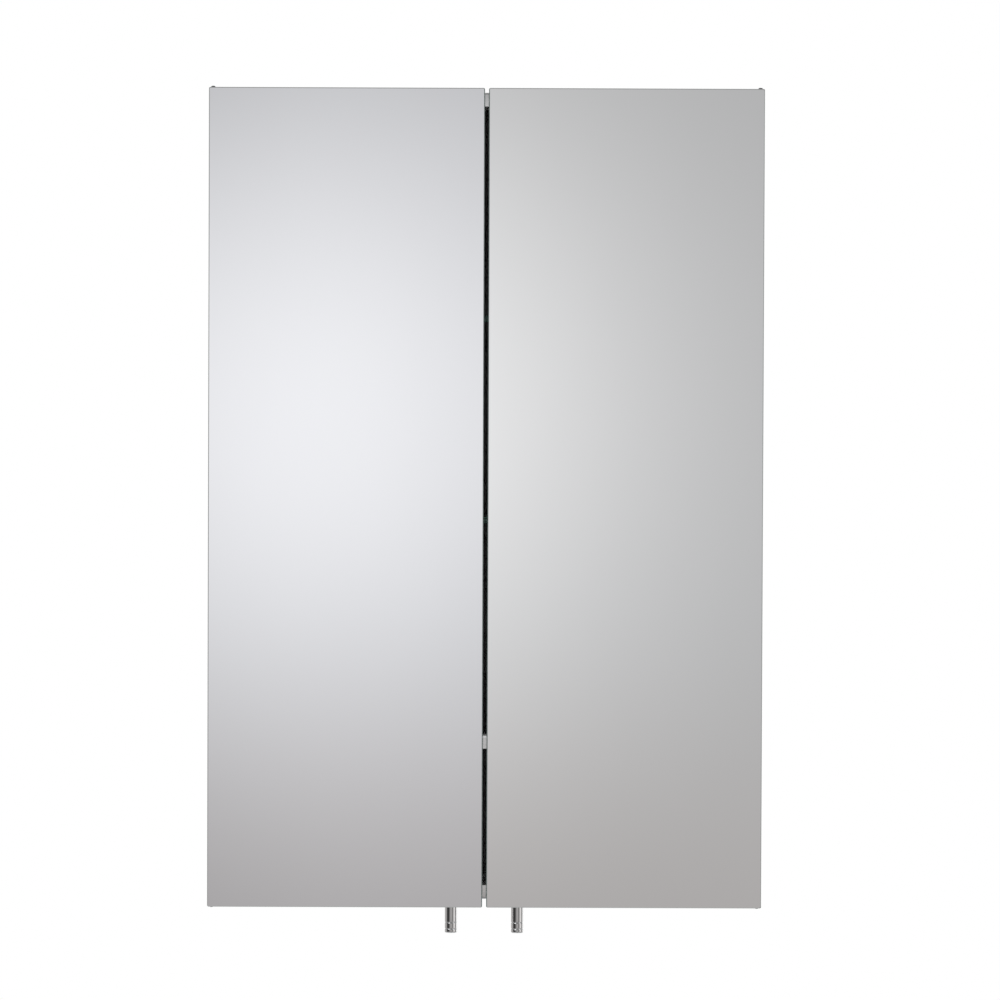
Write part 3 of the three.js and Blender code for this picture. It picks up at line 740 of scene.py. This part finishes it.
def mirror(side, arris, edge, paint):
    """A mirror plate: silvered face, polished arris, ground edges and a painted back. The arris
    beside the other door takes the dark ground-edge material as painted shade of the gap."""
    node = "mirror_" + side
    low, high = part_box(node)
    levels = (
        (high.y, PAINT_ARRIS),
        (high.y - PAINT_ARRIS, 0),
        (low.y + MIRROR_ARRIS, 0),
        (low.y, MIRROR_ARRIS),
    )
    bm = bmesh.new()
    outlines = slab_levels(low, high, MIRROR_CORNER, levels, Y)
    stacked(bm, outlines, (GROUND, GROUND, ARRIS), (PAINT, SILVER))
    # Painted shade: the arris faces beside the gap between the doors take the dark ground-edge
    # material.
    inner = min(low.x, high.x, key=abs)
    for face in bm.faces:
        beside_gap = abs(face.calc_center_median().x - inner) < MIRROR_ARRIS
        if face.material_index == ARRIS and beside_gap:
            face.material_index = GROUND
    finishes = [mirror_silver(side), arris, edge, paint]
    return stands_for(finished(bm, node + "_fine", finishes), node)


def glass_shelf(level, face, edge):
    """A loose shelf with ground edges and round corners."""
    node = "glass_shelf_" + level
    low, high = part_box(node)
    levels = (
        (low.z, SHELF_ARRIS),
        (low.z + SHELF_ARRIS, 0),
        (high.z - SHELF_ARRIS, 0),
        (high.z, SHELF_ARRIS),
    )
    bm = bmesh.new()
    stacked(bm, slab_levels(low, high, SHELF_CORNER, levels, Z), (1, 1, 1), (0, 0))
    return stands_for(finished(bm, node + "_fine", [face, edge]), node)


def pull(side, material):
    """A turned bar with two grooves near its lower end and a blind bore in its top."""
    node = "pull_" + side
    low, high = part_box(node)
    radius = (high.x - low.x) / 2
    profile = [(0, low.z), (radius - PULL_EASE, low.z), (radius, low.z + PULL_EASE)]
    for height in PULL_GROOVES:
        bottom = low.z + height - GROOVE_WIDTH / 2
        profile.append((radius, bottom))
        profile.append((radius - GROOVE_DEPTH, bottom + GROOVE_SLOPE))
        profile.append((radius - GROOVE_DEPTH, bottom + GROOVE_WIDTH - GROOVE_SLOPE))
        profile.append((radius, bottom + GROOVE_WIDTH))
    profile += [(radius, high.z - PULL_TOP_EASE), (radius - PULL_TOP_EASE, high.z)]
    profile += [(PULL_BORE, high.z), (PULL_BORE, high.z - PULL_BORE_DEPTH)]
    profile.append((0, high.z - PULL_BORE_DEPTH))
    bm = bmesh.new()
    turned(bm, fillet(profile, PULL_FILLET), middle(low, high), steps=PULL_STEPS)
    return stands_for(finished(bm, node + "_fine", [material]), node)


def ends_of(node, axis, outer_is_high):
    """The places of a node's inner end and outer end on an axis."""
    low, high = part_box(node)
    return (low[axis], high[axis]) if outer_is_high else (high[axis], low[axis])


def turned_piece(node, profile, axis, material):
    """A small turned piece on its CAD node's middle line, with a closed profile welded shut."""
    bm = bmesh.new()
    turned(bm, profile, middle(*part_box(node)), axis)
    bmesh.ops.remove_doubles(bm, verts=bm.verts, dist=WELD_DISTANCE)
    return stands_for(finished(bm, node + "_fine", [material]), node)


def hinge_pin(end, side, material):
    """A pin with a peened tail under its ear and a low domed head."""
    node = f"hinge_pin_{end}_{side}"
    tail, head = ends_of(node, Z, end == "top")
    profile = fillet(between_ends(tail, head, PIN_TAIL, PIN_HEAD), PIN_FILLET)
    return turned_piece(node, profile, Z, material)


def hinge_rivet(end, side, number, material):
    """A blind rivet: domed head with the mandrel's dimple, clinched tail."""
    node = f"hinge_rivet_{end}_{side}_{number}"
    tail, head = ends_of(node, Z, end == "top")
    profile = fillet(between_ends(tail, head, RIVET_TAIL, RIVET_HEAD), RIVET_FILLET)
    return turned_piece(node, profile, Z, material)


def hinge_bush(end, side, material):
    """A nylon bush: a tube with a collar behind the pan's end wall."""
    node = f"hinge_bush_{end}_{side}"
    inner, outer = ends_of(node, Z, end == "top")
    profile = between_ends(inner, outer, BUSH_INNER, BUSH_OUTER)
    return turned_piece(node, profile + profile[:1], Z, material)


def shelf_peg(level, side, column, material):
    """A shelf peg: round nose under the glass, collar against the rail, tail in its hole."""
    node = f"shelf_peg_{level}_{side}_{column}"
    nose, tail = ends_of(node, X, side == "right")
    profile = fillet(between_ends(nose, tail, PEG_NOSE, PEG_TAIL), PEG_FILLET)
    return turned_piece(node, profile, X, material)


def magnet(side, core, plate):
    """A ferrite block between two thin steel pole plates that stand a little proud of it."""
    node = "magnet_" + side
    low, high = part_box(node)
    layers = (
        (low.x, low.x + POLE_SHEET, 0, 1),
        (low.x + POLE_SHEET, high.x - POLE_SHEET, FERRITE_SUNK, 0),
        (high.x - POLE_SHEET, high.x, 0, 1),
    )
    bm = bmesh.new()
    for start, end, sunk, index in layers:
        inner_low = Vector((start, low.y + sunk, low.z + sunk))
        inner_high = Vector((end, high.y - sunk, high.z - sunk))
        levels = (
            (start, MAGNET_EASE),
            (start + MAGNET_EASE, 0),
            (end - MAGNET_EASE, 0),
            (end, MAGNET_EASE),
        )
        outlines = slab_levels(
            inner_low, inner_high, MAGNET_CORNER, levels, X, MAGNET_CORNER_STEPS
        )
        stacked(bm, outlines, (index,) * 3, (index,) * 2)
    return stands_for(finished(bm, node + "_fine", [core, plate]), node)


def cross_recess(centre):
    """Cutter for a screw head's cross recess, with `centre` at the top of the head."""
    half = CROSS_WIDTH / 2
    arm = [
        Vector((half, half, 0)),
        Vector((half, CROSS_REACH, 0)),
        Vector((-half, CROSS_REACH, 0)),
    ]
    outline = []
    for quarter in range(4):
        turn = Matrix.Rotation(math.radians(90 * quarter), 3, "Z")
        outline += [turn @ point for point in arm]
    depth = Vector((0, 0, CROSS_DEPTH))
    foot = [centre + point * CROSS_TAPER - depth for point in outline]
    top = [centre + point + depth for point in outline]
    bm = bmesh.new()
    stacked(bm, [foot, top], (0,), (0, 0))
    return bm


def catch_screw(material):
    """A pan-head screw with a cross recess."""
    node = "catch_screw"
    low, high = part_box(node)
    profile = between_ends(low.z, high.z, SCREW_POINT, SCREW_HEAD)
    profile += dome(CROWN_RADIUS, high.z - CROWN_HEIGHT, CROWN_HEIGHT)
    bm = bmesh.new()
    centre = middle(low, high)
    turned(bm, profile, centre, steps=HEAD_STEPS)
    bm = cut_away(bm, cross_recess(Vector((centre.x, centre.y, high.z))))
    return stands_for(finished(bm, node + "_fine", [material]), node)


def door_buffer(end, side, material):
    """A soft clear bumper: a shallow dome on a thin foot."""
    node = f"buffer_{end}_{side}"
    low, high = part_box(node)
    radius = (high.x - low.x) / 2
    foot = low.y + BUFFER_FOOT
    profile = [(0, low.y), (radius, low.y), (radius, foot)]
    rim = foot + BUFFER_STEP
    profile += dome(radius * BUFFER_DOME, rim, high.y - rim)
    bm = bmesh.new()
    turned(bm, profile, middle(low, high), axis=Y, steps=HEAD_STEPS)
    return stands_for(finished(bm, node + "_fine", [material]), node)


def spot_cutter(places, wall):
    """Shallow lenses that press spot welds into the rear of a wall that lies across Y."""
    radius = (SPOT_RADIUS ** 2 + SPOT_DEPTH ** 2) / (2 * SPOT_DEPTH)
    bm = bmesh.new()
    for x, z in places:
        centre = Vector((x, wall, z))
        profile = [(0, wall - SPOT_DEPTH)]
        # The last step lies past the rim, so that the lens crosses the wall's face.
        for step in range(1, SPOT_STEPS + 2):
            reach = SPOT_RADIUS * step / SPOT_STEPS
            sink = SPOT_DEPTH - (radius - math.sqrt(radius ** 2 - reach ** 2))
            profile.append((reach, wall - sink))
        profile += [(reach, wall + SPOT_CLEAR), (0, wall + SPOT_CLEAR)]
        turned(bm, profile, centre, axis=Y, steps=SPOT_TURN_STEPS)
    return bm


def back_panel(material):
    """The back sheet, with the spot welds that hold it to the flanges pressed in from behind."""
    node = "back_panel"
    bm = welded(node)
    ease_edges(bm)
    low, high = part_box(node)
    left, right = low.x + SPOT_MARGIN, high.x - SPOT_MARGIN
    bottom, top = low.z + SPOT_MARGIN, high.z - SPOT_MARGIN
    places = []
    for i in range(SPOTS_DOWN):
        z = bottom + (top - bottom) * i / (SPOTS_DOWN - 1)
        places += [(left, z), (right, z)]
    for i in range(1, SPOTS_ACROSS - 1):
        x = left + (right - left) * i / (SPOTS_ACROSS - 1)
        places += [(x, bottom), (x, top)]
    bm = cut_away(bm, spot_cutter(places, high.y))
    piece = finished(bm, node + "_fine", [material], SPOT_RIM_ANGLE)
    return stands_for(piece, node)


# ---- Assembly ----

def fixed_pivot(end, side, zinc, dark):
    """What the body carries of one pivot: the plate, its pin and its two rivets."""
    sheet_piece(f"hinge_plate_{end}_{side}", zinc)
    hinge_pin(end, side, dark)
    for number in (1, 2):
        hinge_rivet(end, side, number, zinc)


def dress_body(zinc, white):
    """The cabinet's sheets, pivots, shelves and catch."""
    upright = brushed_steel("upright")
    across = brushed_steel("across")
    dark = dark_plate()
    block = ferrite()
    for side in SIDES:
        sheet_piece("side_panel_" + side, upright)
        for column in COLUMNS:
            sheet_piece(f"shelf_rail_{side}_{column}", upright)
            for level in LEVELS:
                shelf_peg(level, side, column, white)
        for end in ENDS:
            fixed_pivot(end, side, zinc, dark)
        magnet(side, block, zinc)
    for node in ("top_panel", "bottom_panel", "fixed_shelf"):
        sheet_piece(node, across)
    back_panel(brushed_steel("plain"))
    sheet_piece("catch_housing", catch_plastic(), MOULDED_EASE)
    catch_screw(zinc)
    face = shelf_glass()
    edge = ground_edge("shelf")
    for level in LEVELS:
        glass_shelf(level, face, edge)


def dress_doors(zinc, white):
    """Both doors, with the bushes that turn on the body's pins."""
    pan = brushed_steel("pan")
    liner = brushed_steel("liner")
    arris = polished_arris()
    edge = ground_edge("mirror")
    paint = backing_paint()
    bright = chrome()
    tape = foam()
    clear = soft_clear()
    for side in SIDES:
        mirror(side, arris, edge, paint)
        sheet_piece("mirror_tape_" + side, tape, FINE_EASE)
        sheet_piece("door_pan_" + side, pan)
        sheet_piece("door_liner_" + side, liner)
        sheet_piece("pull_screw_" + side, zinc, FINE_EASE)
        pull(side, bright)
        for end in ENDS:
            hinge_bush(end, side, white)
            door_buffer(end, side, clear)


def dress_cabinet():
    """Every visible piece. The body and the doors share their zinc and their nylon."""
    zinc = zinc_plate()
    white = nylon()
    dress_body(zinc, white)
    dress_doors(zinc, white)


# ---- Studio ----

# What a polished surface sees round the horizon: (degrees from -Y towards +X, radiance).
HORIZON = (
    (-180, 0.52), (-140, 0.5), (-106, 0.44), (-90, 0.4), (-76, 0.07), (-50, 0.03), (-32, 0.1),
    (-14, 0.34), (-4, 0.31), (0, 0.39), (4, 0.45), (14, 0.36), (32, 0.19), (54, 0.6), (70, 0.95),
    (84, 0.5), (98, 0.36), (112, 0.22), (130, 0.26), (155, 0.32), (180, 0.5),
)
# Radiance by height: (height of the direction, from -1 straight down to 1 straight up, radiance).
HEIGHTS = (
    (-1, 0.5), (-0.5, 0.68), (-0.36, 0.4), (-0.15, 0.42), (0.15, 0.42), (0.5, 0.52), (1, 0.38),
)
# What is left of HEIGHTS by degrees from -Y towards +X: turned chrome gets its stripes from it.
STRIPES = (
    (-180, 0.6), (-135, 1), (-116, 0.18), (-94, 0.95), (-84, 0.8), (-66, 0.18), (-45, 1),
    (-16, 0.55), (12, 0.1), (45, 1), (78, 0.2), (98, 0.16), (135, 1), (180, 0.6),
)
# The stripes fade towards the ceiling and the floor with this power of the height.
STRIPE_FADE = 5
# Between these heights the horizon's own radiance gives way to the radiance by height.
HORIZON_BAND = (0.12, 0.34)
# How much of the floor's warmer, duller tone there is by height.
FLOOR_WARMTH = ((-0.3, 0), (-0.16, 1), (-0.1, 1), (-0.045, 0))
FLOOR_TINT = (0.985, 0.95, 0.932)
# The radiance that a matt surface gets from every direction.
DIFFUSE_LEVEL = 1.0
# Soft bright patches in the room: (direction, radiance, spread)
GLOWS = (
    ((-0.03, -1, -0.0164), 0.6, 0.0018),
    ((-0.66, -0.625, -0.4), 0.12, 0.0027),
    ((-0.5, -0.6, 0.62), 2.2, 0.012),
)


def ramp(tree, value, stops):
    """A smooth grey ramp through (position, level) stops."""
    made = add_node(tree, "ShaderNodeValToRGB", {"Fac": value})
    elements = made.color_ramp.elements
    made.color_ramp.interpolation = "EASE"
    while len(elements) < len(stops):
        elements.new(0.5)
    for element, (position, level) in zip(elements, stops):
        element.position = position
        element.color = (level, level, level, 1)
    return made.outputs["Color"]


def round_ramp(tree, turn, stops):
    """A ramp round the horizon through (degrees from -Y towards +X, level) stops."""
    return ramp(tree, turn, [(degrees / 360 + 0.5, level) for degrees, level in stops])


def height_ramp(tree, rise, stops):
    """A ramp from straight down to straight up through (height, level) stops."""
    return ramp(tree, rise, [(height / 2 + 0.5, level) for height, level in stops])


def product(tree, first, second):
    """Two colours multiplied."""
    return add_node(
        tree, "ShaderNodeVectorMath", {0: first, 1: second}, operation="MULTIPLY"
    ).outputs[0]


def room(tree, direction):
    """What a polished surface sees in each direction, and the tint over all of it."""
    parts = add_node(tree, "ShaderNodeSeparateXYZ", {"Vector": direction}).outputs
    back = math_node(tree, "MULTIPLY", parts["Y"], -1)
    turn = math_node(tree, "ARCTAN2", parts["X"], back)
    turn = math_node(tree, "MULTIPLY_ADD", turn, 1 / (2 * math.pi), 0.5)
    rise = math_node(tree, "MULTIPLY_ADD", parts["Z"], 0.5, 0.5)
    off_level = math_node(tree, "ABSOLUTE", parts["Z"])
    calm = math_node(tree, "POWER", off_level, STRIPE_FADE)
    stripes = blend_colours(tree, calm, round_ramp(tree, turn, STRIPES), (1, 1, 1))
    fade = add_node(tree, "ShaderNodeMapRange", {
        "Value": off_level, "From Min": HORIZON_BAND[0], "From Max": HORIZON_BAND[1],
    }, interpolation_type="SMOOTHSTEP").outputs[0]
    striped = product(tree, height_ramp(tree, rise, HEIGHTS), stripes)
    colour = blend_colours(tree, fade, round_ramp(tree, turn, HORIZON), striped)
    warmth = height_ramp(tree, rise, FLOOR_WARMTH)
    return colour, blend_colours(tree, warmth, (1, 1, 1), FLOOR_TINT)


def with_glows(tree, direction, colour):
    """Adds the soft bright patches to a colour."""
    for source, radiance, width in GLOWS:
        toward = add_node(tree, "ShaderNodeVectorMath", {
            0: direction, 1: Vector(source).normalized(),
        }, operation="DOT_PRODUCT").outputs["Value"]
        away = math_node(tree, "SUBTRACT", toward, 1)
        lobe = math_node(tree, "EXPONENT", math_node(tree, "DIVIDE", away, width))
        patch = math_node(tree, "MULTIPLY", lobe, radiance)
        lit = add_node(tree, "ShaderNodeVectorMath", {0: colour, 1: patch}, operation="ADD")
        colour = lit.outputs[0]
    return colour


def studio_world():
    """Lights and reflections of a white studio; the camera itself sees plain white behind."""
    world = bpy.data.worlds.new("studio")
    world.use_nodes = True
    tree = world.node_tree
    direction = add_node(tree, "ShaderNodeTexCoord").outputs["Generated"]
    direction = add_node(
        tree, "ShaderNodeVectorMath", {0: direction}, operation="NORMALIZE"
    ).outputs[0]
    colour, tint = room(tree, direction)
    colour = product(tree, with_glows(tree, direction, colour), tint)
    path = add_node(tree, "ShaderNodeLightPath").outputs
    for kind, level in (("Is Diffuse Ray", DIFFUSE_LEVEL), ("Is Camera Ray", 1)):
        colour = blend_colours(tree, path[kind], colour, (level,) * 3)
    tree.links.new(colour, tree.nodes["Background"].inputs["Color"])
    bpy.context.scene.world = world


def softbox(name, place, size, power):
    """A square soft light aimed at the origin, which the camera doesn't see."""
    lamp = bpy.data.lights.new(name, "AREA")
    lamp.shape = "SQUARE"
    lamp.size = size
    lamp.energy = power
    made = bpy.data.objects.new(name, lamp)
    made.location = place
    made.visible_camera = False
    made.rotation_euler = (-Vector(place)).to_track_quat("-Z", "Y").to_euler()
    bpy.context.scene.collection.objects.link(made)


def studio_floor():
    """A round pale floor below the cabinet, left out of reflections."""
    bm = bmesh.new()
    bmesh.ops.create_circle(bm, cap_ends=True, radius=FLOOR_RADIUS, segments=FLOOR_STEPS)
    mesh = bpy.data.meshes.new("studio_floor")
    bm.to_mesh(mesh)
    bm.free()
    mesh.materials.append(floor_paint())
    floor = bpy.data.objects.new("studio_floor", mesh)
    floor.location.z = FLOOR_Z
    floor.visible_glossy = False
    bpy.context.scene.collection.objects.link(floor)


def studio():
    """The room's reflections, the floor and the softboxes."""
    studio_world()
    studio_floor()
    for name, place, size, power in SOFTBOXES:
        softbox(name, place, size, power)


def camera():
    """The photo's viewpoint: a long lens almost square to the doors, rolled very slightly."""
    low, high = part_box("mirror_left")
    aim = Vector((AIM_RIGHT, low.y, middle(low, high).z - AIM_DOWN))
    away = Vector((
        math.sin(CAMERA_AZIMUTH) * math.cos(CAMERA_ELEVATION),
        -math.cos(CAMERA_AZIMUTH) * math.cos(CAMERA_ELEVATION),
        math.sin(CAMERA_ELEVATION),
    ))
    level_right = Vector((0, 0, 1)).cross(away).normalized()
    level_up = away.cross(level_right)
    right = level_right * math.cos(CAMERA_ROLL) + level_up * math.sin(CAMERA_ROLL)
    up = away.cross(right)
    data = bpy.data.cameras.new("camera")
    data.lens = LENS
    data.sensor_width = SENSOR
    made = bpy.data.objects.new("camera", data)
    turn = Matrix((right, up, away)).transposed()
    made.matrix_world = Matrix.Translation(aim + away * CAMERA_DISTANCE) @ turn.to_4x4()
    bpy.context.scene.collection.objects.link(made)
    bpy.context.scene.camera = made


camera()
dress_cabinet()
studio()
bpy.context.scene.view_settings.view_transform = "Standard"
